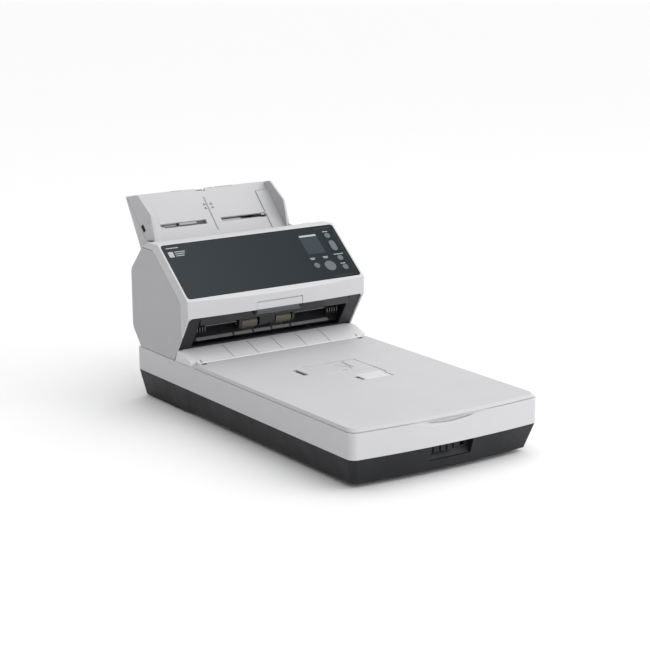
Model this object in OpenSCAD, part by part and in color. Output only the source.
/* [Body] */
// Overall width of the casing
body_w = 300; // [296:1:306]
// Front centre of the base, measured from the casing datum
front_y = -288.5; // [-292:0.5:-286]
// Forward bow of the front face at its centre
bow = 8.5; // [6:0.5:10]
// Height of the parting line between the dark case and the white housing
part_z = 41; // [40:0.5:42]
// Height of the housing top, where the lid and feeder rest
deck_z = 76; // [75.5:0.5:76.5]
// Wall thickness of the moulded covers
wall = 2.8; // [2.4:0.1:3]
/* [Feeder] */
// Slope of the paper path
path_ang = 45.4; // [45.2:0.1:45.6]
// Height of the gap above the paper path between the guides
path_gap = 3; // [2.8:0.1:3.2]
// Diameter of the feed roller tyres
tyre_d = 22; // [21.8:0.1:22]
/* [Tray] */
// Half width of the paper chute
tray_hw = 125; // [124:0.5:126]
/* [Buttons] */
// Travel clearance around each key
key_gap = 0.4; // [0.3:0.1:0.5]

/* [Hidden] */
$fn = 48;
hw = body_w/2;
y_shift = 31.5;
rear_y = 271;
panel_ang = 39.52;

// ---------- frames ----------
module place() translate([0,-y_shift,0]) children();
// extrude a side profile [y,z] along x from x0 to x1
module prof(x0,x1) translate([x0,0,0]) rotate([90,0,90]) linear_extrude(x1-x0) children();
// paper path frame: x right, y up the path, z off the path
module path() translate([0,303.6,245.8]) rotate([path_ang,0,0]) children();
// panel frame: x right, y up the panel, z out of the panel
module pan() translate([0,124.1,170.9]) rotate([panel_ang,0,0]) children();
module box(a,b) translate(a) cube([b[0]-a[0],b[1]-a[1],b[2]-a[2]]);
module xcyl(x0,x1,r) translate([x0,0,0]) rotate([0,90,0]) cylinder(r=r,h=x1-x0);

// plan outline with a bowed front edge and rounded front corners
function fy(x,h,yf,b) = yf + b*(x/h)*(x/h);
function plan(h,yr,yf,b,r) = concat([[h,yr],[-h,yr]],
  [for(i=[0:6]) let(a=180+i*14) [-h+r+r*cos(a), fy(h-r,h,yf,b)+r+r*sin(a)]],
  [for(i=[1:15]) let(x=(-1+i/8)*(h-r)) [x,fy(x,h,yf,b)]],
  [for(i=[0:6]) let(a=276+i*14) [h-r+r*cos(a), fy(h-r,h,yf,b)+r+r*sin(a)]]);
module slab(z0,z1,h,yr,yf,b,r) translate([0,0,z0]) linear_extrude(z1-z0) polygon(plan(h,yr,yf,b,r));
module rrect(x0,y0,x1,y1,r,h) { // rounded plate from exact pieces
  translate([x0+r,y0,0]) cube([x1-x0-2*r,y1-y0,h]);
  translate([x0,y0+r,0]) cube([x1-x0,y1-y0-2*r,h]);
  for(x=[x0+r,x1-r]) for(y=[y0+r,y1-r]) translate([x,y,0]) cylinder(r=r,h=h);
}

// ---------- base ----------
boss = [[-125,230],[125,230],[-125,20],[125,20],[-120,-248],[120,-248]];
foot = [[-118,238,1.6],[118,238,1.6],[-112,-225,6.5],[112,-225,6.5]];
module case_solid(i,zb) hull() {
  slab(part_z-0.02,part_z,hw-0.3-i,rear_y-i,front_y+0.3+i,bow,11);
  slab(zb,zb+0.02,hw-11-i,rear_y-i,front_y+13.4+i,bow,9);
}
module lower_case() color([0.17,0.175,0.19]) place() difference() {
  union() {
    difference() { case_solid(0,1.6); translate([0,0,0.01]) case_solid(2.8,9.6); }
    for(p=boss) translate([p[0],p[1],9]) cylinder(d=9,h=31);
    prof(-36,42) polygon([[-284,40.6],[-262,40.6],[-262,9.2],[-276,9.2]]);   // lock switch housing
    for(y=[-240,248]) { box([-66,y-4,9],[-54,y+4,47]); box([84,y-4,9],[100,y+4,40]); }
    box([60,160,9],[64,252,16]); box([30,160,9],[34,252,16]);
  }
  prof(-200,200) polygon([[-320,-2],[-320,6.5],[119,6.5],[160,1.6],[160,-2]]);
  for(p=boss) { translate([p[0],p[1],12]) cylinder(d=3.2,h=40); translate([p[0],p[1],-1]) cylinder(d=8,h=10.2); translate([p[0],p[1],5]) cylinder(d=4.2,h=9);}
  for(p=foot) translate([p[0],p[1],-1]) cylinder(d=18.6,h=p[2]+3);
  // lock switch recess with a sloping floor
  prof(-30,36) polygon([[-300,42],[-300,15],[-279,21],[-274.4,29.2],[-274.4,42]]);
  box([-28,-275,30.5],[30,-255,38.5]);
  // guide rod seats
  for(y=[-240,248]) { translate([-60,y,43]) rotate([90,0,0]) cylinder(d=8,h=12,center=true); box([-64.01,y-6,43],[-55.99,y+6,60]); }
  // rear sockets
  box([70,262,17],[84,280,28]);
  box([40,262,18],[52.4,280,29]);
  translate([24,262,23]) rotate([-90,0,0]) cylinder(d=5,h=20);
  for(x=[-100:8:-30]) box([x,262,14],[x+4,280,30]);        // rear vents
}
module rubber_feet() color([0.09,0.09,0.09]) place() for(p=foot) translate([p[0],p[1],0]) difference() {
  union() { cylinder(d=18,h=p[2]+2); cylinder(d1=17,d2=18,h=1); }
  translate([0,0,-1]) cylinder(d=5,h=2.2);
}
module case_screws() color([0.6,0.6,0.62]) place() for(p=boss) translate([p[0],p[1],0]) difference() {
  union() { translate([0,0,6.7]) cylinder(d=6.4,h=2.4); translate([0,0,9]) cylinder(d=3,h=20); }
  translate([0,0,6]) cylinder(d=2.6,h=1.9,$fn=6);
}
module upper_housing() color([0.82,0.82,0.83]) place() difference() {
  union() {
    difference() { slab(part_z+0.4,deck_z,hw,rear_y,front_y,bow,11); slab(part_z,deck_z-3,hw-wall,rear_y-wall,front_y+wall,bow,9); }
    // deck around the glass and well walls
    difference() { slab(57.5,60.5,hw-1,rear_y-1,front_y+1,bow,9); box([-109,-252,50],[109,52,70]); box([-116,128,50],[116,258,70]); }
    difference() { box([-145,-276,58],[145,118,deck_z-0.5]); box([-142.2,-280,57],[142.2,114.6,80]); }
    box([-98,-283.6,59],[98,-272,deck_z-0.5]);
    for(p=boss) translate([p[0],p[1],40.6]) cylinder(d=8,h=18);
  }
  // well for the lid body
  slab(60.5,90,141,114.6,front_y+12,bow,9);
  // scooped grip under the lid's front edge
  translate([0,front_y-599,371]) sphere(r=673,$fn=128);
  for(p=boss) translate([p[0],p[1],30]) cylinder(d=3.2,h=22);
  box([-120,150,deck_z-4],[120,256,deck_z+1]);               // opening below the feeder
}
module flatbed_glass() color([0.75,0.85,0.85,0.4]) place() box([-116,-259,60.7],[116,59,63.7]);
module calibration_strip() color([0.95,0.95,0.95]) place() box([-104,53,56.2],[104,58,57.4]);

// ---------- carriage and drive ----------
module guide_rod() color([0.75,0.75,0.77]) place() translate([-60,-246,43]) rotate([-90,0,0]) cylinder(d=8,h=500);
module guide_rail() color([0.6,0.61,0.63]) place() { box([86,-244,40.2],[98,252,42.2]); box([86,-244,42.2],[88,252,44]); }
module carriage_frame() color([0.2,0.2,0.22]) place() difference() {
  union() { box([-112,18,28],[108,46,54]); box([-70,6,36],[-50,58,52]); box([80,24,44.3],[104,40,50]); }
  box([-106,22,33],[106,42,60]);
  translate([-60,0,43]) rotate([-90,0,0]) cylinder(d=12,h=70);
  box([79,0,20],[120,60,44.3]);
  box([-44,0,20],[-20,60,32.6]);
}
module carriage_bushings() color([0.72,0.6,0.3]) place() for(y=[6.2,47.8]) translate([-60,y,43]) rotate([-90,0,0]) difference() {
  cylinder(d=11.9,h=10); translate([0,0,-1]) cylinder(d=8.1,h=12); }
module carriage_lens() color([0.6,0.75,0.8,0.6]) place() { box([-105.8,22.2,50],[105.8,41.8,53.2]); box([-40,28,34],[78,36,50]); }
module scan_motor() color([0.55,0.55,0.57]) place() { translate([-32,205,10]) cylinder(d=35,h=12); translate([-32,205,22]) cylinder(d=10,h=1.6); translate([-32,205,23]) cylinder(d=4,h=9.2); }
module pulley(y) place() translate([-32,y,0]) difference() {
  union() { translate([0,0,24]) cylinder(d=16,h=7); translate([0,0,24]) cylinder(d=18.6,h=1); translate([0,0,30.2]) cylinder(d=18.6,h=0.8); for(i=[0:7]) rotate(i*45) translate([5.4,0,30.6]) cylinder(d=1.6,h=1); }
  translate([0,0,20]) cylinder(d=4.1,h=20);
}
module motor_pulley() color([0.85,0.85,0.85]) pulley(205);
module idler_pulley() color([0.85,0.85,0.85]) pulley(-225);
module scan_belt() color([0.1,0.1,0.1]) place() difference() {
  union() { for(y=[-225,205]) translate([-32,y,25.4]) cylinder(r=9.6,h=4.4); box([-41.6,-225,25.4],[-22.4,205,29.8]); }
  for(y=[-225,205]) translate([-32,y,20]) cylinder(r=8.3,h=14); box([-40.3,-225,20],[-23.7,205,34]);
}
module main_board() color([0.1,0.35,0.2]) place() { box([20,150,16.4],[82,253,18]); box([50,190,18],[74,214,20.5]); box([26,222,18],[38,244,21]); translate([36,175,18]) cylinder(d=10,h=14); translate([36,195,18]) cylinder(d=8,h=11); }
module power_inlet() color([0.1,0.1,0.1]) place() difference() { box([70.3,256,18.3],[83.7,270.6,27.7]); translate([77,262,23]) rotate([-90,0,0]) cylinder(d=6.4,h=20); }
module usb_port() color([0.75,0.75,0.75]) place() difference() { box([40.3,254,18.3],[52.1,270.6,28.7]); box([42,262,20],[50.4,280,27]); }
module lock_slider() color([0.14,0.145,0.16]) place() difference() {
  union() { prof(-27.6,8.8) polygon([[-283.4,39.6],[-283.4,31.4],[-274.9,30.2],[-274.9,39.6]]); box([8,-278,31.4],[21,-274.4,39.6]); box([-26,-276,31],[12,-263,38]); }
  for(x=[-26.7,-15,-4.6,5.8]) box([x-1.4,-290,25],[x+1.4,-280.8,45]);
}

// ---------- flatbed lid ----------
lid_y1 = 111.4;
module lid_shell() color([0.82,0.82,0.83]) { lid_plate(); lid_knuckles(); }
module lid_plate() place() difference() {
  union() {
    hull() { slab(deck_z+0.5,deck_z+1.3,hw-0.9,lid_y1,front_y+1.4,bow,12); slab(deck_z+4.5,deck_z+4.9,hw-3.3,lid_y1,front_y+4.3,bow,13); }
    difference() { slab(68,deck_z+1,139.5,109,front_y+14,bow,8); slab(60,deck_z+1,136.9,106.4,front_y+16.6,bow,7); }
    box([-34,-74,70],[62,16,deck_z+1]);
  }
  box([-31.6,-71.6,76.6],[54,12,90]);       // stop recess
  for(s=[-1,1]) { box([s*133-3.9,104.6,60],[s*133+3.9,112,90]); box([s*133-8.2,104.6,60],[s*133+8.2,112,90]); }
  box([5.4,-94,78],[49.4,-71,90]);          // tongue recess
  for(s=[-1,1]) box([s<0?-150:140.4,109.7,76],[s<0?-140.4:150,113,77.5]);
  box([-53,-26,78.4],[-45.6,5,90]);         // finger slot
  box([-1,-90,76.6],[4.2,-71.5,90]);
}
// knuckles at the back edge of the lid and of the casing share one steel pin each
kz = 78.9; ky = 109.6;
module lid_knuckles() place() for(s=[-1,1]) for(t=[-1,1]) translate([s*133+t*6,0,0]) difference() {
  prof(-1.9,1.9) polygon([[103.9,77],[103.9,80.6],[109.6,81.1],[111.4,80.1],[111.7,78.9],[111.4,77.7],[109.6,76.7]]);
  translate([0,ky,kz]) xcyl(-5,5,1.05);
}
module hinge_pins() color([0.72,0.72,0.74]) place() for(s=[-1,1]) translate([s*133,ky,kz]) xcyl(-7.8,7.8,1);
module lid_inner() color([0.85,0.85,0.85]) place() difference() { slab(66.4,68,139.5,109,front_y+14,bow,8); for(x=[-100,0,100]) translate([x,60,60]) cylinder(d=3,h=12); }
module document_pad() color([0.96,0.96,0.96]) place() box([-112,-250,64],[112,54,66.2]);
module lid_hinge_arms() color([0.3,0.3,0.32]) place() for(s=[-1,1]) difference() {
  union() { translate([s*133,ky,kz]) xcyl(-3.6,3.6,2.1); box([s*133-3.6,109.6,76.8],[s*133+3.6,113.2,79]); box([s*133-3.6,111.9,60.8],[s*133+3.6,114.4,79]); box([s*133-3.6,106,60.8],[s*133+3.6,114.4,63]); }
  translate([s*133,ky,kz]) xcyl(-9,9,1.05);
}
module stacker_stop() color([0.80,0.80,0.81]) place() difference() {
  union() { box([-31,-38.2,77],[53.4,11.4,80.7]); translate([0,-38.2,78.85]) xcyl(-31,53.4,1.85); }
  box([27,-27,79.9],[30,9,90]); box([5,-34,79.9],[22,-31,90]);
}
module stacker_plate() color([0.84,0.84,0.84]) place() { box([-31,-71,77],[53.4,-43,80.4]); translate([0,-43,78.7]) xcyl(-31,53.4,1.7); box([6,-93,78.6],[48.8,-70.9,80.4]); }

// ---------- feeder casing ----------
side_pts = [[264.5,76.5],[286,101],[288.3,108],[288.3,187],[286.8,191.5],[253.5,226.6],[221.5,226.9],[202,211.6],[147,166.4],[143.5,161],[143.5,111.4],[156.2,91.6],[165.8,76.5]];
module side_cover(s) place() prof(s<0?-hw:hw-wall, s<0?-hw+wall:hw) polygon(side_pts);
module left_side_cover() color([0.78,0.78,0.8]) side_cover(-1);
module right_side_cover() color([0.78,0.78,0.8]) side_cover(1);
module rear_cover() color([0.8,0.8,0.81]) place() {
 for(s=[-1,1]) { translate([0,252,230]) xcyl(s<0?-140.2:134.2,s<0?-134.2:140.2,2.5); translate([0,252,230]) xcyl(s<0?-134.3:126.8,s<0?-126.8:134.3,1);
  prof(s<0?-140.2:134.2,s<0?-134.2:140.2) polygon([[251.4,229],[254.3,230],[257.4,222.4],[253.6,222.6],[251.9,224.6]]); }
 for(s=[-1,1]) prof(s<0?-hw+wall+0.1:125.6,s<0?-125.6:hw-wall-0.1) polygon([[288.3,187],[286.8,191.3],[253.6,226.3],[251.8,224.4],[284.4,190.1]]);
 prof(-hw+wall+0.1,hw-wall-0.1) polygon([[264.5,76.5],[286,101],[288.3,108],[288.3,187],[286.8,191.3],[284.6,190.3],[285.5,186.6],[285.5,108.5],[283.8,102.6],[262.5,78.2],[262.5,76.5]]); }
// dark frame around the delivery mouth: cheeks and lower lip
module mouth_frame() color([0.15,0.155,0.17]) place() {
  for(s=[-1,1]) prof(s<0?-hw+wall+0.4:132.5, s<0?-132.5:hw-wall-0.4) polygon([[125,142.6],[158.2,92],[166,76.8],[262,76.8],[262,196],[252,206],[150,144],[143,142.6]]);
  for(s=[-1,1]) prof(s<0?-133:126.6, s<0?-126.6:133) polygon([[125,142.6],[158.2,92],[161.6,92],[128.6,142.6]]);
  prof(-132.6,132.6) polygon([[156,94.8],[166,76.8],[176,76.8],[176,84],[166.5,95.2]]);
}
module exit_ramp() color([0.83,0.83,0.84]) place() difference() {
  union() { prof(-140,140) polygon([[112.2,80.9],[143,91.2],[157,92.4],[163,79],[163,76.4],[117,76.4],[112.2,79.4]]); 
    for(s=[-1,1]) prof(s<0?-hw+0.6:140, s<0?-140:hw-0.6) polygon([[118.5,76.4],[118.5,82.2],[120,83.5],[143,91.2],[155.6,92.2],[163,76.4]]); }
  for(i=[-2:2]) box([2.4+i*41.2-0.35,100,80],[2.4+i*41.2+0.35,150,100]);
  for(s=[-1,1]) { box([s*133-1,113,70],[s*133+1,122,100]); box([s*133-4.4,111,70],[s*133+4.4,115.2,79.7]); }
  prof(-200,200) polygon([[158.4,92.4],[165.4,76.2],[180,76],[180,100],[158.4,100]]);
}
// ---------- paper path, lower side ----------
S = [-62,-108,-190];   // pick, feed and exit roller stations
module lower_guide() color([0.13,0.13,0.14]) place() path() difference() {
  union() { box([-132,-203,-3.4],[132,-30,0]); for(x=[[-114,-51],[-47,-17],[-14,14],[17,47],[51,114]]) box([x[0],-203,-5.4],[x[1],-200.7,0.4]); for(s=[-128,126]) { box([s,-200,-24],[s+2.4,-75,-3]); box([s,-76,-15],[s+2.4,-48,-3]); } }
  for(i=[0,1,2]) for(x=[-37,13]) box([x-1,S[i]-11,-5],[x+25,S[i]+11,1]);
  box([-109,-150,-5],[109,-132,1]);
  for(s=[-1,1]) box([s<0?-140:122,-54,-20],[s<0?-122:140,-29,1]);
  for(s=S) translate([-140,s,-10.4]) xcyl(0,280,3.06);
  box([116,S[1]-12,-5],[122,S[1]+12,1]);
}
module lower_sensor() color([0.12,0.12,0.13]) place() path() box([-108.6,-149.6,-16],[108.6,-132.4,-0.4]);
module feed_motor() color([0.55,0.55,0.57]) place() path() { translate([0,-122,-46]) xcyl(60,104,17); translate([0,-122,-46]) xcyl(104,124,2.5); }
module shaft_roller(s,t,xs,w,r,x0,x1) translate([0,s,t]) { xcyl(x0,x1,3); for(x=xs) xcyl(x,x+w,r); }
module feed_gear() color([0.9,0.9,0.88]) place() path() { translate([0,S[1],-10.4]) rotate([90,0,90]) translate([0,0,117]) linear_extrude(4) difference() { polygon([for(i=[0:23]) for(j=[[-4.2,8.4],[-2.2,10],[2.2,10],[4.2,8.4]]) [j[1]*cos(i*15+j[0]),j[1]*sin(i*15+j[0])]]); circle(r=3.03); } }
module pick_roller() color([0.12,0.12,0.12]) place() path() shaft_roller(S[0],-10.4,[-37,13],24,tyre_d/2,-125.4,122);
module feed_roller() color([0.12,0.12,0.12]) place() path() shaft_roller(S[1],-10.4,[-37,13],24,tyre_d/2,-125.4,125.8);
module exit_roller() color([0.12,0.12,0.12]) place() path() shaft_roller(S[2],-10.4,[-37,13],24,tyre_d/2-0.4,-125.4,122);

// ---------- chute ----------
module paper_chute() color([0.83,0.83,0.84]) place() {
  difference() {
    union() {
      path() translate([0,0,-3]) linear_extrude(3) polygon([[-tray_hw,57.5],[tray_hw,57.5],[tray_hw,-29.5],[-tray_hw,-29.5]]);
      for(s=[-1,1]) prof(s<0?-tray_hw:tray_hw-2.6, s<0?-tray_hw+2.6:tray_hw) polygon([[344,286.2],[345.2,283.6],[289.6,192.4],[287.4,192],[255,226.9],[285.6,226.9]]);
      path() for(x=[-58,55]) box([x,10,-9.4],[x+3,54,-2.9]);
      path() box([-120,-20,-13.5],[120,-16,-2.9]);
      path() { for(x=[-94,10]) box([x,-16.5,-11.6],[x+84,1.4,-9.4]);
        box([-59,-4,-9.5],[-29,0.7,-1.4]); box([-83,-3,-9.5],[-64,-1.4,-2.6]); box([12.9,-7.5,-9.5],[47,-2.8,-1.4]); box([46.9,-6,-9.5],[84,-4.4,-2.6]);}
    }
    path() { for(s=[-1,1]) box([s<0?-91.8:13,-7.4,-4],[s<0?-13:91.8,0.6,1]);
      
      box([-8,52,-5],[8,60,1]); box([-1.2,-24,-0.5],[1.2,41,1]); }
  }
}
module chute_back_cover() color([0.8,0.8,0.8]) place() union() {
  difference() {
    prof(-tray_hw+2.8,tray_hw-2.8) polygon([[341.6,278.9],[343.2,280.4],[289.9,192.8],[287.4,192.2],[283.4,196.4],[286.6,198]]);
    path() box([-60.6,5,-30],[60.6,60,5]);
  }
  path() difference() { union() { box([-60.4,9.6,-11.6],[60.4,56.6,-3.3]); box([-60.4,3,-15.2],[60.4,9.7,-9.7]); } box([-58.4,9.7,-9.7],[58.4,60,0]); }
}
module guide(s) path() {
  f = s<0 ? -1 : 1;

  // upright inner wall with a leaning hollow flank outside it
  prof2(f,113.8,116.4,[[-38,0.4],[-38,5],[-30,8],[-14,18.4],[2,26.5],[46.5,16],[52.6,6],[55,1.2],[55,0.4]]);
  difference() {
    hull() { prof2(f,115.6,116.4,[[-30,7],[-14,18],[2,26.4],[46.5,15.9],[52.4,6],[54,1.2],[54,0.4],[-30,0.4]]); prof2(f,122.6,124.4,[[-24,0.4],[-24,1.8],[54.6,1.8],[54.6,0.4]]); }
    hull() { prof2(f,116.4,116.6,[[-26,0.2],[-26,6.6],[-14,15.0],[2,23.4],[45.4,13.4],[50,5.4],[51.6,0.2]]); prof2(f,120.8,121.4,[[-22.4,0.2],[-22.4,0.5],[52,0.5],[52,0.2]]); }
    box([min(f*118,f*130),-12,1.9],[max(f*118,f*130),0,7.4]);
  }
  hull() { prof2(f,92.6,94,[[-38,0.4],[-38,1],[41,1],[41,0.4]]); prof2(f,112,114.5,[[-38,0.4],[-38,1.4],[41,1.4],[41,0.4]]); }
  // arm through the slot and its rack behind the tray
  y0 = f<0 ? -7 : -2.3; y1 = f<0 ? -4.5 : 0.2;
  box([min(f*85.4,f*91.4),y0,-5.6],[max(f*85.4,f*91.4),y1,-1.2]);
  box([min(f*90.2,f*91.4),y0,-1.3],[max(f*90.2,f*91.4),y1,0.9]);
  box([min(f*91,f*93.5),y0,0.4],[max(f*91,f*93.5),y1,0.9]);
}
// side profile in the path frame, extruded across x on side f
module prof2(f,x0,x1,p) { a = min(f*x0,f*x1); b=max(f*x0,f*x1); translate([a,0,0]) rotate([90,0,90]) linear_extrude(b-a) polygon(p); }
module rack(f) path() { // toothed bar behind the tray
  y0 = f>0 ? 3.0 : -14.4; y1 = f>0 ? 7.6 : -9.8;
  box([f>0?-5:-91.4, f>0?4.2:-14.4, -6.2],[f>0?91.4:5, f>0?7.6:-11, -3.8+0.2]);
  box([f>0?85.4:-91.4, f>0?-2.3:-11.2, -6.2],[f>0?91.4:-85.4, f>0?7.6:-4.5, -3.6]);
  for(i=[-1:22]) translate([f*i*PI, 0, 0]) box([-0.6, f>0?2.3:-11.2, -6.2],[0.6, f>0?4.4:-9.1, -3.6]);
}
module left_guide() color([0.8,0.8,0.81]) place() { guide(-1); rack(-1); }
module right_guide() color([0.8,0.8,0.81]) place() { guide(1); rack(1); }
// pinion of 12 teeth, pitch radius 6, axis off the path plane
module guide_pinion() color([0.9,0.9,0.88]) place() path() translate([0,-3.4,-6.2]) difference() {
  linear_extrude(2.5) polygon([for(i=[0:11]) for(j=[[-8.6,4.7],[-5.2,6.7],[5.2,6.7],[8.6,4.7]]) [j[1]*cos(i*30+15+j[0]),j[1]*sin(i*30+15+j[0])]]);
  translate([0,0,-1]) cylinder(d=3,h=6);
}
module chute_extension() color([0.82,0.82,0.83]) place() path() difference() {
  box([-54.2,10,-6.2],[54.2,57,-3.8]); box([-8,50,-10],[8,60,0]);
}
module extension_tip() color([0.82,0.82,0.83]) place() path() { box([-28,14,-8.6],[28,56.6,-6.6]); box([-28,54,-8.6],[-22,56.6,-6.4]); box([22,54,-8.6],[28,56.6,-6.4]); }

// ---------- opening feeder cover ----------
shell_pts = [[114,144.2],[114,163],[124.6,171.7],[204,236.7],[207,237.4],[231,236.4],[234.5,235.4],[252.8,227.4]];
module front_cover() color([0.84,0.84,0.85]) place() { cover_shell();
  for(s=[-1,1]) difference() { translate([0,252,230]) xcyl(s<0?-133.6:127.6,s<0?-127.6:133.6,2.5); translate([0,252,230]) xcyl(-140,140,1.08); }
  for(s=[-1,1]) { prof(s<0?-hw:hw-wall, s<0?-hw+wall:hw) polygon([[122.2,144.3],[143,144.3],[143,113],[142.2,113.6]]);
    translate([0,122.3,144.3]) rotate([122.7,0,0]) translate([0,0,-1]) linear_extrude(1) polygon([[s*(hw-wall+0.1),0.5],[s*(hw-wall-5.6),0.5],[s*(hw-wall-4.2),-0.8],[s*(hw-wall-1.2),-3.2],[s*(hw-wall+0.1),-6.6]]); } }
module cover_shell() difference() {
  intersection() {
    prof(-hw,hw) polygon(concat(shell_pts,[[221.6,227.4],[202,212.2],[146.6,166.8],[143,161.2],[143,144.2]]));
    // gently bowed front
    translate([0,0,100]) linear_extrude(160) polygon([for(i=[-8:8]) [i*hw/8, 117.4+4.6*(i/8)*(i/8)], [hw,300],[-hw,300]]);
  }
  // hollow behind the panel and band
  prof(-hw+wall,hw-wall) polygon([[125,140],[125,166.4],[205.6,233],[231,233],[246,227],[246,210],[150,120]]);
  // recess for the control panel
  pan() translate([-147.4,1.2,-2.6]) rrect(0,0,294.8,101.6,5,6);
  // key openings
  pan() for(k=keys) translate([k[0],k[1],-8]) cylinder(r=k[2]+key_gap,h=10);
  pan() translate([128.8,0,-8]) { translate([0,57,0]) cylinder(r=5+key_gap,h=10); translate([0,67,0]) cylinder(r=5+key_gap,h=10); box([-5-key_gap,57,0],[5+key_gap,67,10]); }
  translate([0,122,154]) xcyl(-42.4,42.4,1.18);
  for(s=[-1,1]) box([s<0?-140.6:133.9,247.6,224],[s<0?-133.9:140.6,258,238]);
  // notch for the release tab
  box([-39,110,140],[39,132,156]);
}
keys = [[128.6,82.2,5],[129,38,5],[129,20,5],[83.4,29.4,5],[105,25.8,9.4]];
module control_panel() color([0.2,0.235,0.24]) place() difference() {
  pan() translate([-147.2,1.4,-2.4]) rrect(0,0,294.4,101.2,4.8,2.6);
  pan() for(k=keys) translate([k[0],k[1],-5]) cylinder(r=k[2]+key_gap,h=10);
  pan() translate([128.8,0,-5]) { translate([0,57,0]) cylinder(r=5+key_gap,h=10); translate([0,67,0]) cylinder(r=5+key_gap,h=10); box([-5-key_gap,57,0],[5+key_gap,67,10]); }
  pan() box([79,51,-1],[111,89,10]);
}
module display() color([0.27,0.32,0.35]) place() pan() box([79.2,51.2,-0.9],[110.8,88.8,0.1]);
module panel_board() color([0.1,0.35,0.2]) place() pan() box([66,8,-9.4],[140,96,-7.8]);
module key(k) place() pan() translate([k[0],k[1],-5.4]) { cylinder(r=k[2],h=6.3); translate([0,0,-0.8]) cylinder(r=k[2]+1.4,h=1.6); }
module menu_key() color([0.5,0.5,0.54]) key(keys[0]);
module feed_key() color([0.5,0.5,0.54]) key(keys[1]);
module power_key() color([0.5,0.5,0.54]) key(keys[2]);
module clear_key() color([0.5,0.5,0.54]) key(keys[3]);
module scan_key() color([0.55,0.55,0.6]) key(keys[4]);
module rocker_key() color([0.5,0.5,0.54]) place() pan() translate([128.8,0,-5.4]) { translate([0,57,0]) cylinder(r=5,h=6.3); translate([0,67,0]) cylinder(r=5,h=6.3); box([-5,57,0],[5,67,6.3]); box([-6,56,-0.8],[6,68,0.8]); translate([0,62,0]) xcyl(-8,8,0.8); }
// inner guide of the cover, above the paper path
module upper_guide() color([0.13,0.13,0.14]) place() difference() {
  union() {
    path() box([-130,-150,path_gap],[130,-56,path_gap+3]);
    for(x=[[-47.4,-43.4],[-13,13],[43.4,47.4]]) prof(x[0],x[1]) polygon([[152,130],[154.4,114],[158.6,110.4],[166.6,111.6],[172,117.6],[178,131]]);
    prof(-126,126) polygon([[127,143.4],[129,131],[160,122],[190,132],[197.6,142.2],[195.4,144.4],[186,136.2],[160,128.6],[136,134.6],[136,143.4]]);
    for(x=[-130,-84,-42,40,82,128]) prof(x,x+2) polygon([[136,143.4],[136,134.6],[160,127],[190,134],[228,174],[232,196],[224,214],[206,205]]);
    for(s=[-1,1]) prof(s<0?-131.6:120,s<0?-120:131.6) polygon([[218,206],[226,222],[236,222],[236,204],[226,196]]);
  }
  path() { for(x=[-37,13]) box([x-1,-94,-2],[x+25,-74,20]); box([-109,-150,-1],[109,-131,20]); translate([-140,-84,10.2]) xcyl(0,280,3.06); translate([-140,-190,9.8]) xcyl(0,280,1.96); }
  path() for(x=[-42.8,15.2]) box([x,-200.5,0],[x+27.6,-179.6,22]);
}
module upper_sensor() color([0.12,0.12,0.13]) place() path() box([-108.6,-149.6,3.4],[108.6,-131.4,18]);
module brake_roller() color([0.12,0.12,0.12]) place() path() shaft_roller(-84,10.2,[-37,13],24,9,-126,126);
module pinch_rollers() color([0.72,0.68,0.5]) place() path() { translate([0,-190,9.8]) { xcyl(-48.6,48.6,1.9); for(x=[-42,16]) xcyl(x,x+26,8.6); } }
module release_tab() color([0.84,0.84,0.85]) place() { translate([0,122,154]) xcyl(-42,42,1.1); prof(-38.4,38.4) polygon([[118.1,144.3],[117.9,150],[118,153.6],[119.6,155.2],[124.2,155.2],[124.6,144.3]]); }

lower_case();
rubber_feet();
case_screws();
upper_housing();
flatbed_glass();
calibration_strip();
guide_rod();
guide_rail();
carriage_frame();
carriage_bushings();
carriage_lens();
scan_motor();
motor_pulley();
idler_pulley();
scan_belt();
main_board();
power_inlet();
usb_port();
lock_slider();
lid_shell();
lid_inner();
document_pad();
lid_hinge_arms();
hinge_pins();
stacker_stop();
stacker_plate();
left_side_cover();
right_side_cover();
rear_cover();
mouth_frame();
exit_ramp();
lower_guide();
lower_sensor();
feed_motor();
feed_gear();
pick_roller();
feed_roller();
exit_roller();
paper_chute();
chute_back_cover();
left_guide();
right_guide();
guide_pinion();
chute_extension();
extension_tip();
front_cover();
control_panel();
display();
panel_board();
upper_guide();
upper_sensor();
brake_roller();
pinch_rollers();
release_tab();
menu_key();
rocker_key();
feed_key();
power_key();
clear_key();
scan_key();
